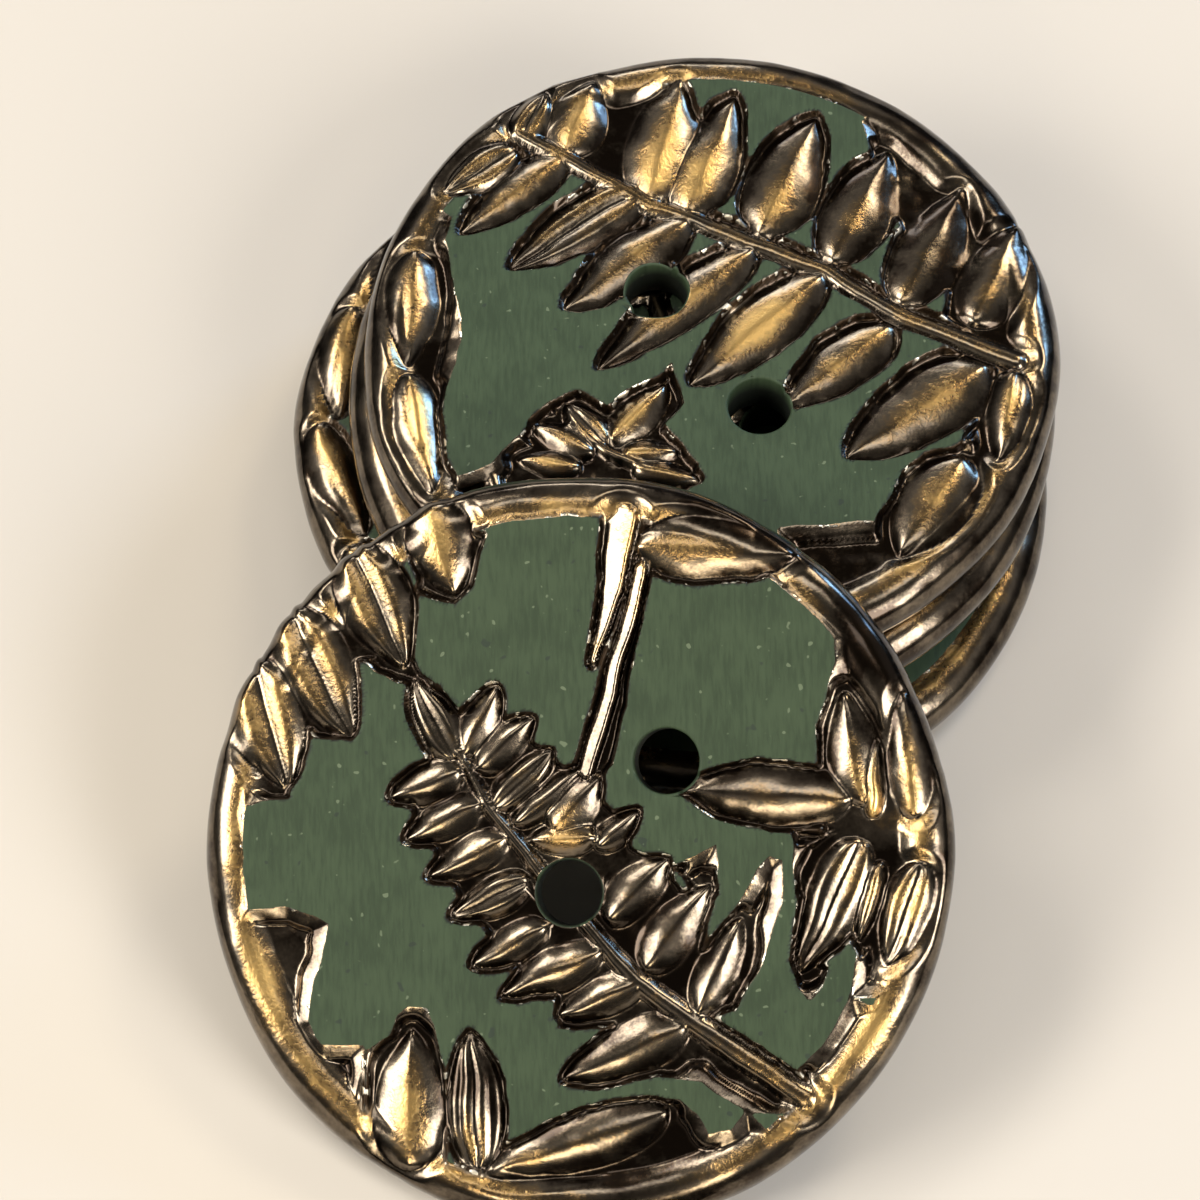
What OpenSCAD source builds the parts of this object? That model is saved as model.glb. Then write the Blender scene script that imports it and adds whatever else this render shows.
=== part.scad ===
// Five round clay buttons: four in a stack and one that leans on it.
// The origin is the middle of the bottom button's underside, and +Z is up.

/* [Buttons] */
// Thickness from the flat back to the sanded face
button_t = 2.6; // [2.4:0.1:3]
// Diameter of the bottom button
bottom_d = 31.8; // [31:0.2:33]
// Diameter of the second button
second_d = 29.4; // [29:0.2:31]
// Diameter of the third button
third_d = 32; // [31:0.2:33]
// Diameter of the top button
top_d = 31.2; // [31:0.2:32]
// Diameter of the button that leans on the stack
leaning_d = 32; // [32:0.2:33]

/* [Sewing holes] */
// Diameter of each sewing hole
hole_d = 2.8; // [2:0.1:3]

/* [Relief] */
// Depth from the sanded face down to the bronze ground
relief = 0.55; // [0.4:0.05:0.7]
// Width of the groove left free round each leaf
groove = 0.25; // [0.15:0.05:0.3]
// How far a leaf's crest stays below the sanded face
crest_drop = 0.1; // [0.1:0.05:0.15]
// Height of a stem above the bronze ground
stem_h = 0.4; // [0.25:0.05:0.4]
// Width of the rolled edge outside the sanded face
edge_w = 1.8; // [1.6:0.1:2]

/* [Lean] */
// Tilt of the leaning button from level, in degrees
lean_tilt = 24.4; // [20:0.1:28]
// Compass angle of its uphill side, from +X towards +Y, in degrees
lean_heading = 75.8; // [70:0.1:80]

/* [Hidden] */
$fn = 72;

bronze = [0.42, 0.33, 0.2];
green = [0.3, 0.37, 0.29];

// Radius of the rolled edge, how much the flat back cuts from it, and its middle's height
roll_r = button_t / 2;
back_cut = 0.05;
roll_z = roll_r - back_cut;
ground_z = button_t - relief;
leaf_h = relief - crest_drop;
// How deep leaves and the sanded face are rooted below the ground
leaf_root = 0.1;
face_root = 0.3;
// How far cutting shapes reach past what they cut
over = 1;

// Where each stacked button's middle lies
second_at = [-4.1, 1.4];
third_at = [-0.2, 1.6];
top_at = [0.2, 2.6];

// The leaning button stands on its lower edge and its back meets the top button's rolled edge.
// Both touches are found from the tilt, and give the height and the place of its back's middle.
lean_roll_reach = leaning_d / 2 - roll_r;
top_roll_reach = top_d / 2 - roll_r;
lean_z = roll_r + lean_roll_reach * sin(lean_tilt) - roll_z * cos(lean_tilt);
top_roll_z = 3 * button_t + roll_z;
lean_run = (roll_r + (top_roll_z - lean_z) * cos(lean_tilt)) / sin(lean_tilt) + top_roll_reach;
lean_at = top_at - lean_run * [cos(lean_heading), sin(lean_heading)];

// A leaf is [base x, base y, tip x, tip y, width], in millimetres from its button's middle.
// The leaning button: leaves along its rim, then the fern from its tip down to its foot.
leaning_leaves = [
    [-5.9, 14.8, -4.9, 11, 2.7],
    [-9.2, 13, -7.2, 8, 3.1],
    [-12.1, 10.4, -9.5, 5, 3.2],
    [-13.7, 8.2, -12.3, 2.9, 3.3],
    [3, 12.8, 9.6, 12.3, 2.6],
    [11.6, 1.9, 4.6, 2.5, 2.6],
    [12.2, 1.8, 11.6, 6.3, 2.1],
    [14.4, 1.2, 14.1, 6.3, 1.7],
    [12.1, 0, 9.5, -5.3, 2.6],
    [12.9, -0.9, 12, -4, 0.9],
    [14.6, -0.9, 13.2, -5, 1.9],
    [3.6, -11.2, -4, -13.5, 2.4],
    [-4.4, -13.3, -4.6, -7.6, 2.5],
    [-7.4, -13.3, -7.2, -7.6, 2.9],
    [12.6, 1.2, 12.9, 4.3, 0.9],
    [-5.1, 4.1, -6.7, 7.3, 1.9],
    [-4.6, 4.2, -3.2, 7.1, 1.5],
    [-4.9, 3.5, -7.8, 2.4, 1.8],
    [-4.1, 3.6, -1.7, 5.7, 1.6],
    [-4, 2.1, -7.2, 0.6, 1.6],
    [-3.3, 2, -0.9, 4.2, 1.5],
    [-3, 0.6, -6.3, -1, 1.6],
    [-2.5, 1.2, 0.3, 3.4, 1.2],
    [-2, -1.2, -5.3, -2.7, 1.6],
    [-0.9, 0.9, 1.1, 3.1, 1.9],
    [-1.4, -3.2, -4.5, -4.8, 1.6],
    [1, 0.1, 2.7, 1.6, 1.2],
    [1, -4.3, -3.2, -6, 1.8],
    [1.4, -2.9, 3.9, -0.4, 2],
    [2.7, -5.6, -0.9, -7, 1.6],
    [2.9, -5.1, 5.6, -1.6, 2],
    [4.6, -7.6, -0.8, -9.6, 2.2],
    [5.1, -7, 6.9, -3.1, 1.7],
    [0.8, 0.5, -1.9, 0.5, 1.3]
];
// A stem is [first width, last width, points from one end to the other].
leaning_stems = [
    [0.4, 1.1, [[-4.9, 4.3], [-3.6, 1.9], [-1, -1.4], [2.5, -5.6], [4.3, -7], [9.6, -10.7]]],
    [1.5, 0.3, [[2.4, 14], [1.8, 11], [1, 8]]],
    [0.5, 0.7, [[3.1, 11.9], [2.2, 8.6], [0.5, 3.3]]]
];
leaning_sewing = [[4, 3.7], [-0.3, -1.8]];

// The top button: leaves above its long stem, below it, along its left rim, then the small fern.
top_leaves = [
    [-8.4, 10.6, -7.4, 13, 1.7],
    [-6.5, 10.1, -5.2, 13.8, 2.4],
    [-2.7, 7.6, -1.3, 13.8, 3.3],
    [-1, 6.7, 1.3, 13, 3],
    [2.3, 5.6, 4.9, 11.9, 3.4],
    [5.6, 4.2, 8.2, 10.1, 3.2],
    [8.6, 2, 11.4, 8, 3],
    [11.8, 1, 13.9, 6, 2.8],
    [-8.8, 10.1, -12, 7.8, 1.9],
    [-6.7, 9.7, -11.2, 5.7, 2.4],
    [-3.2, 8, -9, 3.8, 2.7],
    [-1, 6.3, -6.6, 1.6, 2.8],
    [1.9, 4.9, -5, -1.3, 2.5],
    [5, 3.4, -0.9, -2.2, 3],
    [8, 0.7, 3.2, -3.2, 2.7],
    [12.2, -1.2, 5.9, -5.8, 3.6],
    [11, -6, 8.1, -10.6, 3.3],
    [13.5, -1.5, 12.7, -6, 1.8],
    [-13.3, 4.7, -13.5, -1, 2.3],
    [-13.4, -1.6, -12.3, -7.6, 1.9],
    [-4.4, -5, -2, -2.2, 1.8],
    [-4.8, -5.2, -6.4, -3.2, 1.6],
    [-5.3, -5.6, -7.9, -4.2, 1.3],
    [-5.8, -6.3, -8.4, -5.9, 1.2],
    [-3.9, -5.7, -1.6, -5.6, 1.2],
    [-3.5, -6.3, -0.6, -7, 1.2]
];
top_stems = [
    [0.8, 1, [[-8.6, 11], [-6.5, 9.7], [-2.7, 7.2], [1.5, 5.4], [5.1, 3.8], [8.7, 1.2], [13.6, -0.9]]],
    [0.5, 0.5, [[-6.3, -4.3], [-4.7, -5.5], [-1.6, -6.9]]]
];
top_sewing = [[-2.4, 2.6], [2.1, -3.4]];

// Corners of the bare recesses beside the leaves, which are at the bronze ground.
leaning_hollows = [
    [[-14.6, -2.2], [-12.3, -2.1], [-11.2, -2.5], [-10.6, -2.9], [-10.9, -4.2], [-11.3, -5.3],
        [-11.5, -7], [-10.9, -8], [-9.1, -8.1], [-9.2, -9.5], [-13, -9], [-15, -5]],
    [[-10.6, 11.2], [-7.4, 8.1], [-9, 8.2], [-10.2, 4.9], [-11.1, 5.1], [-12.6, 7.2]],
    [[-9.1, 8.4], [-8.3, 7.7], [-7.4, 7.2], [-5.4, 7.1], [-6.4, 7.7], [-6.9, 8.6]],
    [[-14.5, 3.8], [-12.3, 3.2], [-12.1, 2.4], [-14.1, 2.2]],
    [[-3.4, 13.5], [-4, 11.2], [-4.8, 10.5], [-6.7, 11.1], [-6, 14.4]],
    [[9.2, 11.6], [9.9, 10.6], [10.8, 9.8], [11.2, 8.8], [11.1, 7.4], [10.8, 6.2], [10.3, 5],
        [10.5, 0.6], [9.3, 0.7], [9.3, -2], [11.5, -3.6], [11.9, -4.6], [11.5, -6.5], [16, -6],
        [17, 8], [12, 13]],
    [[11.6, -6.3], [10.4, -8.3], [9.2, -9.4], [11, -12], [15, -8]],
    [[4.1, -0.7], [6.1, 0.2], [6, -2], [5.1, -2.1]],
    [[7.8, -0.8], [8.2, -0.4], [8.8, -0.6], [8.8, -2.2], [8.3, -3.7], [7.6, -5.3], [6.8, -6.9],
        [5.6, -7.2], [6.2, -3.3], [7, -2.1]],
    [[9.1, -4.8], [9.3, -6], [9.8, -6.6], [10.4, -6], [10.8, -5.1]],
    [[-9, -8.3], [-8.2, -7.7], [-7.8, -6.8], [-7.3, -6.4], [-6.4, -6.5], [-6.1, -7.5],
        [-5.8, -9.2], [-5.7, -14], [-9.3, -13]],
    [[3.2, -10.5], [4.2, -10.6], [5, -11.2], [5.4, -12], [6.3, -11.9], [7, -11.1], [9, -13],
        [3, -15], [-4, -15], [-3.4, -12.6]],
    [[4.4, -7.4], [9.4, -11.3], [7.1, -11.2], [6.1, -10.6], [5.2, -9.8], [3.5, -9.7], [2, -9.3]],
    [[-5, 4.3], [-6.3, 4.3], [-6.9, 1.8], [-6, 0], [-5.1, -1.7], [-4.2, -3], [-2.9, -4.6],
        [-1, -5.8], [-0.9, -7.6], [2, -7.5], [4.5, -7.1], [5.4, -6.8], [5.5, -3.3], [4.1, -1.1],
        [2.5, 0.1], [1.5, 1.9], [-0.2, 3.4], [-1.3, 4.3], [-3.1, 5.5], [-4.3, 5]],
    [[3.1, 11.6], [2.9, 9], [2.8, 7.9], [2.3, 6], [1.7, 3.6], [1.2, 2.9], [0.6, 3.2], [2.1, 8]]
];
top_hollows = [
    [[-13, 7.4], [-11.6, 6.4], [-11.9, 5.2], [-11.1, 1], [-11.5, -1.5], [-12.2, -5],
        [-11.2, -6.9], [-9.6, -6.3], [-9, -8], [-12, -11], [-17, -4], [-16, 6]],
    [[-10, -6.6], [-8.9, -5.2], [-8.1, -4.2], [-7.2, -3.2], [-5.9, -2.5], [-4.6, -3.4],
        [-3.4, -3.2], [-1.7, -1.2], [-1.2, -3.3], [-2.1, -4.4], [-0.7, -6.3], [-1.2, -7.6],
        [-5, -8.4], [-9.6, -8]],
    [[-9.7, 14], [-9.4, 10.9], [-6.4, 9.4], [-3, 7.5], [-1.2, 8.6], [-2.1, 14.7]],
    [[12.8, -0.8], [12.2, -4.8], [11.1, -5.6], [10, -5.9], [7.2, -8.6], [7, -9.2], [2.8, -9.4],
        [3, -15], [12, -12], [17, -4], [16, 4]],
    [[8.4, 8.6], [10, 8.2], [12, 5], [14, 9], [9, 13], [7, 11.6]]
];

// The covered buttons carry one straight fern each, from foot to tip, and the same pair of holes.
fern_foot = [4.4, -10];
fern_tip = [-4.4, 10];
fern_pairs = 6;
fern_spread = 50;
fern_leaf_l = 5.6;
fern_leaf_w = 1.8;
// How much shorter each pair of leaves is than the pair below it
fern_leaf_step = 0.5;
fern_stem = [1, 0.5, [fern_foot, fern_tip]];
covered_sewing = [[-3.2, 2], [3.2, -2]];
// The second button, which shows beside the stack, also has leaves lying along its rim.
rim_count = 13;
rim_turn = 10;
rim_inset = 1.9;
rim_leaf_l = 6;
rim_leaf_w = 2.3;

// Leaves in pairs up the covered buttons' fern, shorter towards the tip
fern_leaves = [for (i = [0:fern_pairs - 1], side = [-1, 1])
    let (base = fern_foot + (fern_tip - fern_foot) * (i + 0.5) / fern_pairs,
        l = fern_leaf_l - fern_leaf_step * i,
        a = atan2(fern_tip[1], fern_tip[0]) + side * fern_spread)
    [each base, each (base + l * [cos(a), sin(a)]), fern_leaf_w]];

// Leaves along the rim of a button of diameter d, each turned a little from the rim's own direction
function rim_leaves(d) = [for (i = [0:rim_count - 1])
    let (a = i * 360 / rim_count, middle = (d / 2 - rim_inset) * [cos(a), sin(a)],
        half = rim_leaf_l / 2 * [-sin(a + rim_turn), cos(a + rim_turn)])
    [each (middle - half), each (middle + half), rim_leaf_w]];

// Half the length of a leaf, the way it points, and its middle
function leaf_half(leaf) = norm([leaf[2] - leaf[0], leaf[3] - leaf[1]]) / 2;
function leaf_angle(leaf) = atan2(leaf[3] - leaf[1], leaf[2] - leaf[0]);
function leaf_middle(leaf) = [leaf[0] + leaf[2], leaf[1] + leaf[3]] / 2;

// Offset of the middle of the two equal arcs that make a leaf of half length a and half width b
function arc_offset(a, b) = (a * a - b * b) / (2 * b);

// Unit vector from one point of a path to the next
function heading(path, i) =
    let (j = min(i, len(path) - 2), step = path[j + 1] - path[j]) step / norm(step);

// Points along one side of a stem whose width changes evenly along it, widened by extra all round
function stem_side(stem, side, extra) =
    let (path = stem[2], last = len(path) - 1)
    [for (i = [0:last])
        let (half = (stem[0] + (stem[1] - stem[0]) * i / last) / 2 + extra, along = heading(path, i),
            past = i == 0 ? -extra : i == last ? extra : 0)
        path[i] + past * along + side * half * [-along[1], along[0]]];

// Outline of a leaf, widened by extra all round
module leaf_outline(leaf, extra) {
    half_w = leaf[4] / 2 + extra;
    half_l = leaf_half(leaf) + extra;
    offset_y = arc_offset(half_l, half_w);
    translate(leaf_middle(leaf)) rotate(leaf_angle(leaf)) intersection() {
        translate([0, offset_y]) circle(offset_y + half_w);
        translate([0, -offset_y]) circle(offset_y + half_w);
    }
}

// A leaf with a keel along its middle: what two large balls share above the ground
module leaf_dome(leaf) {
    half_w = leaf[4] / 2;
    half_l = leaf_half(leaf);
    offset_y = arc_offset(half_l, half_w);
    sink = arc_offset(half_l, leaf_h);
    ball_r = norm([half_l, offset_y, sink]);
    translate([each leaf_middle(leaf), ground_z]) rotate(leaf_angle(leaf)) intersection() {
        translate([0, offset_y, -sink]) sphere(ball_r);
        translate([0, -offset_y, -sink]) sphere(ball_r);
        translate([-half_l - over, -half_w - over, -leaf_root])
            cube([2 * (half_l + over), 2 * (half_w + over), leaf_root + relief]);
    }
}

module stem_outline(stem, extra) {
    left = stem_side(stem, 1, extra);
    right = stem_side(stem, -1, extra);
    polygon(concat(left, [for (i = [len(right) - 1:-1:0]) right[i]]));
}

module stem_ridge(stem) {
    translate([0, 0, ground_z - leaf_root]) linear_extrude(leaf_root + stem_h) stem_outline(stem, 0);
}

// The round body with its rolled edge, up to the bronze ground
module blank(d) {
    rotate_extrude() intersection() {
        union() {
            square([d / 2 - roll_r, ground_z]);
            translate([d / 2 - roll_r, roll_z]) circle(roll_r);
        }
        square([d / 2 + over, button_t]);
    }
}

// The sanded face, which the leaves, stems and hollows are left out of
module sanded_face(d, leaves, stems, hollows) {
    translate([0, 0, ground_z - face_root]) linear_extrude(relief + face_root) difference() {
        circle(d / 2 - edge_w);
        for (leaf = leaves) leaf_outline(leaf, groove);
        for (stem = stems) stem_outline(stem, groove);
        for (corners = hollows) polygon(corners);
    }
}

module sewing_holes(places) {
    for (p = places) translate([each p, -over]) cylinder(d = hole_d, h = button_t + 2 * over);
}

module button(d, leaves, stems, hollows, sewing) {
    difference() {
        union() {
            color(bronze) blank(d);
            color(bronze) for (leaf = leaves) leaf_dome(leaf);
            color(bronze) for (stem = stems) stem_ridge(stem);
            color(green) sanded_face(d, leaves, stems, hollows);
        }
        color(green) sewing_holes(sewing);
    }
}

module bottom_button() {
    button(bottom_d, fern_leaves, [fern_stem], [], covered_sewing);
}

module second_button() {
    translate([each second_at, button_t])
        button(second_d, concat(fern_leaves, rim_leaves(second_d)), [fern_stem], [], covered_sewing);
}

module third_button() {
    translate([each third_at, 2 * button_t])
        button(third_d, fern_leaves, [fern_stem], [], covered_sewing);
}

module top_button() {
    translate([each top_at, 3 * button_t]) button(top_d, top_leaves, top_stems, top_hollows, top_sewing);
}

module leaning_button() {
    translate([each lean_at, lean_z]) rotate([0, 0, lean_heading]) rotate([0, -lean_tilt, 0])
        rotate([0, 0, -lean_heading])
        button(leaning_d, leaning_leaves, leaning_stems, leaning_hollows, leaning_sewing);
}

bottom_button();
second_button();
third_button();
top_button();
leaning_button();
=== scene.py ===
# %% [markdown]
# # Five fern buttons in clay
#
# Four round clay buttons lie in a loose stack and a fifth leans on them. Each face was pressed on a
# fern mould, brushed with bronze, and then sanded until the highest parts showed the green clay again.
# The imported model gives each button's size and place. This script gives each button its looks.

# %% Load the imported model
import math

import bmesh
import bpy
import numpy as np
from mathutils import Matrix, Vector


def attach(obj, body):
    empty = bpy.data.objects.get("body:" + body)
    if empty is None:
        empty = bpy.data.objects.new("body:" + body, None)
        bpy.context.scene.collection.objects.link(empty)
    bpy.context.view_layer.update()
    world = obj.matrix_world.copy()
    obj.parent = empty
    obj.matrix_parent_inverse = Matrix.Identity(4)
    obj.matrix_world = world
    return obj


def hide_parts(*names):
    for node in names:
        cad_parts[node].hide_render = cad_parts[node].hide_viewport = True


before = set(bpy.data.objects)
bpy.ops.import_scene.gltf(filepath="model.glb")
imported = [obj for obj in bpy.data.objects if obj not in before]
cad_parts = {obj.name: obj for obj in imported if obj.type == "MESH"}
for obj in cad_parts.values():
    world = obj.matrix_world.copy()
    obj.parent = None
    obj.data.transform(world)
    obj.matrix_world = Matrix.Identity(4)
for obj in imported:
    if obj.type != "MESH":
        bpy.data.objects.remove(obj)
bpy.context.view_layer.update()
MM = 0.001
print("buttons:", sorted(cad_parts))

# %% [markdown]
# ## Camera
#
# The photograph looks down on the stack at a steep angle. A camera can be turned by eye, or set from the
# angle and the focal length that fit the buttons' outlines. The second way puts every leaf where the
# photograph has it, so the numbers below are that fit, in millimetres, degrees and photograph pixels.

# %% Camera
PHOTO_SIDE = 1200
FOCAL_PIXELS = 4029.7
SHIFT_LEFT, SHIFT_DOWN = 4.31, 0.74
CAMERA_RISE = 63.56
CAMERA_DISTANCE = 180
CAMERA_TARGET = Vector((-4.95, -7.77, 5))
SENSOR_WIDTH, NEAREST_SEEN = 36, 0.01

camera = bpy.data.objects.new("camera", bpy.data.cameras.new("camera"))
camera.data.sensor_width = SENSOR_WIDTH
camera.data.lens = SENSOR_WIDTH * FOCAL_PIXELS / PHOTO_SIDE
camera.data.shift_x = SHIFT_LEFT / PHOTO_SIDE
camera.data.shift_y = SHIFT_DOWN / PHOTO_SIDE
camera.data.clip_start = NEAREST_SEEN
rise = math.radians(CAMERA_RISE)
camera.location = (CAMERA_TARGET + CAMERA_DISTANCE * Vector((0, -math.cos(rise), math.sin(rise)))) * MM
camera.rotation_euler = (math.pi / 2 - rise, 0, 0)
bpy.context.scene.collection.objects.link(camera)
bpy.context.scene.camera = camera
print("lens", round(camera.data.lens, 1), "mm, camera at", [round(c, 4) for c in camera.location])

# %% [markdown]
# ## Shader sums
#
# A finish such as sanded clay is a sum of small patterns. Nodes can be dragged together by hand, but a
# sum is easier to read as a sum. This small class wraps a node's output, so that adding or multiplying
# two of them adds the Math node. Every other node comes from the one method `node`.

# %% Shader sums
class Pattern:
    """A node's output that can be used in sums."""

    def __init__(self, finish, socket):
        self.finish, self.socket = finish, socket

    def sum(self, operation, first, second):
        return self.finish.node("ShaderNodeMath", {"operation": operation}, {0: first, 1: second})

    def __add__(self, other):
        return self.sum("ADD", self, other)

    def __sub__(self, other):
        return self.sum("SUBTRACT", self, other)

    def __rsub__(self, other):
        return self.sum("SUBTRACT", other, self)

    def __mul__(self, other):
        return self.sum("MULTIPLY", self, other)

    __radd__, __rmul__ = __add__, __mul__


class Finish:
    """The nodes of one material or of the world."""

    def __init__(self, owner):
        owner.use_nodes = True
        self.tree = owner.node_tree
        self.tree.nodes.clear()

    def node(self, kind, settings=None, inputs=None, output=0):
        made = self.tree.nodes.new(kind)
        for name, value in (settings or {}).items():
            if name == "stops":
                ramp = made.color_ramp.elements
                while len(ramp) < len(value):
                    ramp.new(0.5)
                for stop, (place, colour) in zip(ramp, value):
                    stop.position, stop.color = place, (*colour, 1)
            else:
                setattr(made, name, value)
        for name, value in (inputs or {}).items():
            if isinstance(value, Pattern):
                self.tree.links.new(value.socket, made.inputs[name])
            else:
                made.inputs[name].default_value = value
        return Pattern(self, made.outputs[output]) if made.outputs else None

    def blend(self, amount, first, second):
        """A colour between two colours."""
        return self.node("ShaderNodeMix", {"data_type": "RGBA"}, {0: amount, 6: first, 7: second}, 2)

    def between(self, value, low, high):
        """0 below low, 1 above high, and smooth between them."""
        return self.node("ShaderNodeMapRange", {"interpolation_type": "SMOOTHSTEP"},
                         {0: value, 1: low, 2: high, 3: 0.0, 4: 1.0})

    def clouds(self, place, scale, detail=2.0, roughness=0.5):
        """A cloudy pattern, about 0.3 to 0.7."""
        return self.node("ShaderNodeTexNoise", {}, {"Vector": place, "Scale": scale, "Detail": detail,
                                                    "Roughness": roughness})


print("shader sums ready")

# %% [markdown]
# ## The table and the light
#
# The buttons lie on a pale surface in daylight. Bronze shows its shape by what it mirrors, so one even
# light would leave it dull. Two windows stand to the left and right, low enough for the leaves' slopes to
# mirror them, smaller boxes add gold and blue edges, and a ceiling light softens the shadows. The room is
# brightest about a third of the way up and dim above and below, so that level bronze stays dark, as in the
# photograph, and so do the shadows under the leaning button.

# %% Table
TABLE_COLOUR = (0.585, 0.535, 0.465, 1)
TABLE_HALF, TABLE_ROUGH = 0.6, 0.6

mesh = bpy.data.meshes.new("table")
bm = bmesh.new()
bmesh.ops.create_grid(bm, x_segments=1, y_segments=1, size=TABLE_HALF)
bm.to_mesh(mesh)
bm.free()
table = bpy.data.objects.new("table", mesh)
bpy.context.scene.collection.objects.link(table)
paint = bpy.data.materials.new("pale_table")
table_finish = Finish(paint)
matt = table_finish.node("ShaderNodeBsdfPrincipled", {}, {
    "Base Color": TABLE_COLOUR, "Roughness": TABLE_ROUGH})
table_finish.node("ShaderNodeOutputMaterial", {}, {"Surface": matt})
mesh.materials.append(paint)
print("table", tuple(round(s, 2) for s in table.dimensions), "m")

# %% Light
LIGHT_TARGET = Vector((-3, -6, 6)) * MM
# The turn and rise in degrees, the distance, width and height in metres, the watts and the colour.
LIGHTS = {
    "window_right": (-40, 34, 0.45, 0.18, 0.22, 1.55, (1, 0.98, 0.95)),
    "window_left": (195, 37, 0.45, 0.2, 0.2, 1.5, (1, 0.97, 0.92)),
    "window_far_left": (145, 51, 0.45, 0.13, 0.1, 0.52, (1, 0.96, 0.9)),
    "window_back": (52, 45, 0.45, 0.1, 0.08, 0.4, (1, 0.88, 0.68)),
    "window_far": (98, 24, 0.5, 0.18, 0.05, 0.25, (1, 1, 1)),
    "window_front": (261, 29, 0.5, 0.14, 0.09, 0.45, (1, 0.88, 0.66)),
    "blue_sky": (43, 24, 0.45, 0.11, 0.1, 0.7, (0.25, 0.52, 1)),
    "ceiling": (90, 88, 0.5, 0.36, 0.1, 0.4, (1, 0.97, 0.93)),
}


def soft_box(name, turn, rise, distance, width, height, watts, colour):
    """An area light turn degrees round from +X and rise degrees above the table, aimed at the stack."""
    light = bpy.data.lights.new(name, "AREA")
    light.shape, light.size, light.size_y = "RECTANGLE", width, height
    light.energy, light.color = watts, colour
    box = bpy.data.objects.new(name, light)
    turn, rise = math.radians(turn), math.radians(rise)
    way = Vector((math.cos(turn) * math.cos(rise), math.sin(turn) * math.cos(rise), math.sin(rise)))
    box.location = LIGHT_TARGET + distance * way
    box.rotation_euler = way.to_track_quat("Z", "Y").to_euler()
    bpy.context.scene.collection.objects.link(box)
    print(name, "at", [round(c, 2) for c in box.location])


for name, setting in LIGHTS.items():
    soft_box(name, *setting)

# %% Room
ROOM_STOPS = [(0.4, (0.04, 0.04, 0.04)), (0.6, (0.3, 0.29, 0.28)), (0.7, (0.27, 0.26, 0.25)),
              (0.84, (0.06, 0.055, 0.05))]

world = bpy.data.worlds.new("room")
bpy.context.scene.world = world
room = Finish(world)
look = room.node("ShaderNodeTexCoord", {}, {}, "Generated")
height = room.node("ShaderNodeSeparateXYZ", {}, {0: look}, 2)
walls = room.node("ShaderNodeValToRGB", {"stops": ROOM_STOPS}, {0: height})
glow = room.node("ShaderNodeBackground", {}, {"Color": walls, "Strength": 1.0})
room.node("ShaderNodeOutputWorld", {}, {"Surface": glow})
bpy.context.scene.view_settings.view_transform = "Standard"
print("the room has", len(ROOM_STOPS), "shades from its floor to its ceiling")

# %% [markdown]
# ## What a button is made of
#
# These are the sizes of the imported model, in millimetres. A leaf is its base, its tip and its width, and
# then how many ridges run along it. A stem is its width at both ends, how far its crest leans to one side,
# and the points that it passes. A hollow is the outline of a bare recess. A worn place is its middle, its
# reach, and how much more or less gold it has. All are measured from the middle of their own button.

# %% Sizes of a button
BUTTON_T = 2.6
RELIEF = 0.55
GROOVE = 0.25
LEAF_H = 0.5
STEM_H = 0.4
EDGE_W = 1.8
HOLE_R = 1.4
ROLL_R = 1.3
ROLL_Z = 1.25
GROUND_Z = BUTTON_T - RELIEF
print("the bare ground is", GROUND_Z, "mm above a button's back")

# %% The leaning button's fern
LEANING_LEAVES = [
    (-5.9, 14.8, -4.9, 11, 2.7, 1), (-9.2, 13, -7.2, 8, 3.1, 2), (-12.1, 10.4, -9.5, 5, 3.2, 2),
    (-13.7, 8.2, -12.3, 2.9, 3.3, 2), (3, 12.8, 9.6, 12.3, 2.6, 1), (11.6, 1.9, 4.6, 2.5, 2.6, 1),
    (12.2, 1.8, 11.6, 6.3, 2.1, 1), (14.4, 1.2, 14.1, 6.3, 1.7, 1), (12.1, 0, 9.5, -5.3, 2.6, 2),
    (12.9, -0.9, 12, -4, 0.9, 1), (14.6, -0.9, 13.2, -5, 1.9, 2), (3.6, -11.2, -4, -13.5, 2.4, 1),
    (-4.4, -13.3, -4.6, -7.6, 2.5, 4), (-7.4, -13.3, -7.2, -7.6, 2.9, 1),
    (12.6, 1.2, 12.9, 4.3, 0.9, 1), (-5.1, 4.1, -6.7, 7.3, 1.9, 2), (-4.6, 4.2, -3.2, 7.1, 1.5, 1),
    (-4.9, 3.5, -7.8, 2.4, 1.8, 1), (-4.1, 3.6, -1.7, 5.7, 1.6, 1), (-4, 2.1, -7.2, 0.6, 1.6, 1),
    (-3.3, 2, -0.9, 4.2, 1.5, 2), (-3, 0.6, -6.3, -1, 1.6, 1), (-2.5, 1.2, 0.3, 3.4, 1.2, 1),
    (-2, -1.2, -5.3, -2.7, 1.6, 2), (-0.9, 0.9, 1.1, 3.1, 1.9, 1), (-1.4, -3.2, -4.5, -4.8, 1.6, 1),
    (1, 0.1, 2.7, 1.6, 1.2, 1), (1, -4.3, -3.2, -6, 1.8, 1), (1.4, -2.9, 3.9, -0.4, 2, 1),
    (2.7, -5.6, -0.9, -7, 1.6, 1), (2.9, -5.1, 5.6, -1.6, 2, 1), (4.6, -7.6, -0.8, -9.6, 2.2, 1),
    (5.1, -7, 6.9, -3.1, 1.7, 1), (0.8, 0.5, -1.9, 0.5, 1.3, 1),
]
LEANING_STEMS = [
    (0.4, 1.1, 0, [(-4.9, 4.3), (-3.6, 1.9), (-1, -1.4), (2.5, -5.6), (4.3, -7), (9.6, -10.7)]),
    (1.5, 0.3, 0.7, [(2.4, 14), (1.8, 11), (1, 8)]),
    (0.6, 0.7, 0.6, [(3.1, 11.9), (2.2, 8.6), (0.5, 3.3)]),
]
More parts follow.
